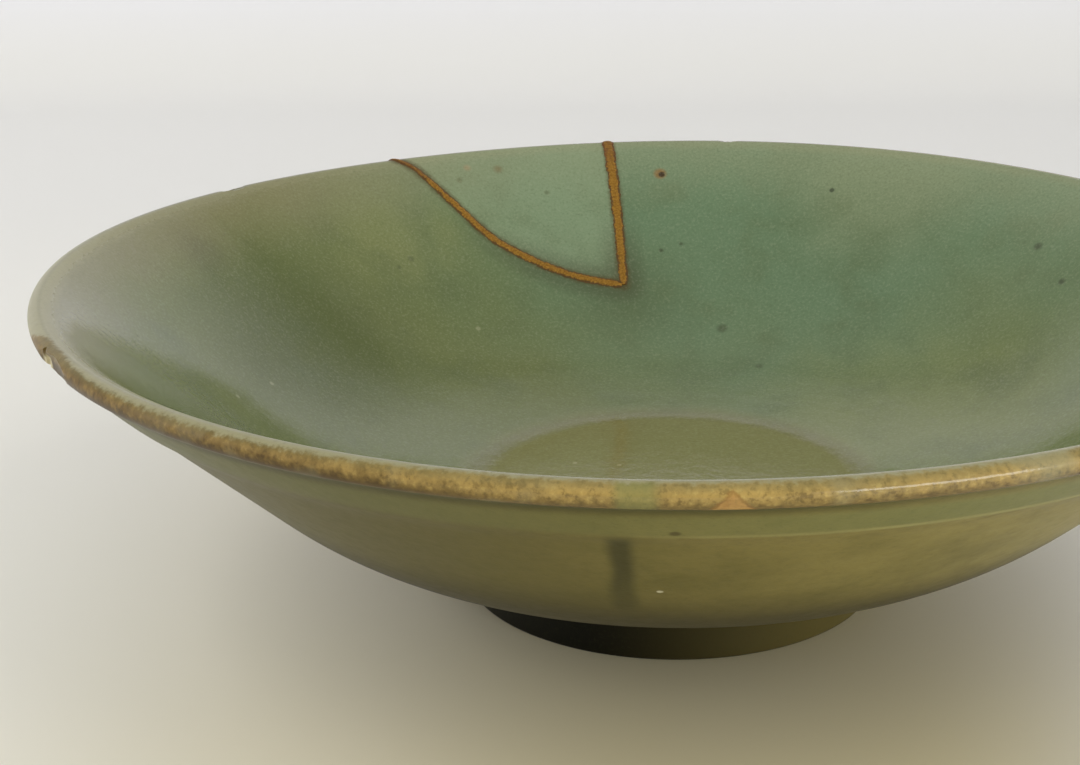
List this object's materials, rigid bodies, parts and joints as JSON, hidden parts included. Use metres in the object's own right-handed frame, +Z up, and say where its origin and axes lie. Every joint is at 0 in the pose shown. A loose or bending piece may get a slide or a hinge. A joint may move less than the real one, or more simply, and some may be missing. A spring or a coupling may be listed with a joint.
{
  "type": "mended ceramic bowl",
  "caption": "Shallow celadon bowl with a rolled lip and a low foot ring; a broken-out piece of the wall is set again and its joint drawn over in gold.",
  "frame": {"origin": "centre of the foot ring, in the plane it stands on", "axes": "+Z up along the bowl's axis; -Y is the front and the mended piece is at the back"},
  "size_m": [0.17, 0.17, 0.0469],
  "materials": {
    "celadon_glaze": "glossy olive to blue-green celadon glaze, brown where it runs thin on the lip, bare clay under the foot",
    "sherd_glaze": "glossy blue-green celadon glaze",
    "gilded_lacquer": "satin gold powder on dark brown lacquer, worn at the lip"
  },
  "bodies": {
    "root": {"bowl_body": "celadon_glaze", "mended_sherd": "sherd_glaze", "gold_seam": "gilded_lacquer"}
  },
  "joints": []
}
